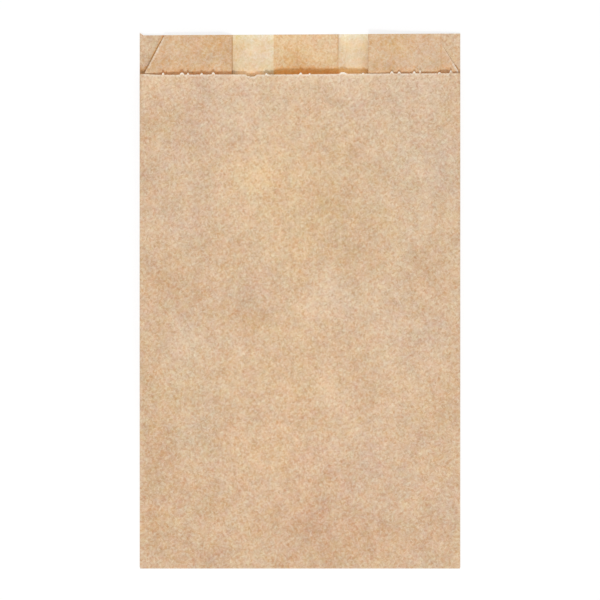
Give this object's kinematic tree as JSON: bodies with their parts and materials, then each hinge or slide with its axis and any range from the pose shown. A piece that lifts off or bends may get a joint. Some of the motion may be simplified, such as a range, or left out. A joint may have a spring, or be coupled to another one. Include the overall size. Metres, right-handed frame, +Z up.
{
  "type": "paper pastry bag",
  "caption": "Flat brown kraft paper pastry bag with folded side gussets, a pasted back seam, a bottom tab folded under and a lip standing above its open mouth.",
  "frame": {"origin": "middle of the bag's outline, on the surface that it lies on", "axes": "+X across the bag to its right side seen from the front, +Y from the closed bottom to the mouth, +Z up out of the front panel"},
  "size_m": [0.12, 0.2006, 0.0059],
  "materials": {
    "kraft_paper": "matt uncoated brown kraft"
  },
  "bodies": {
    "root": {"paper_bag": "kraft_paper"}
  },
  "joints": []
}
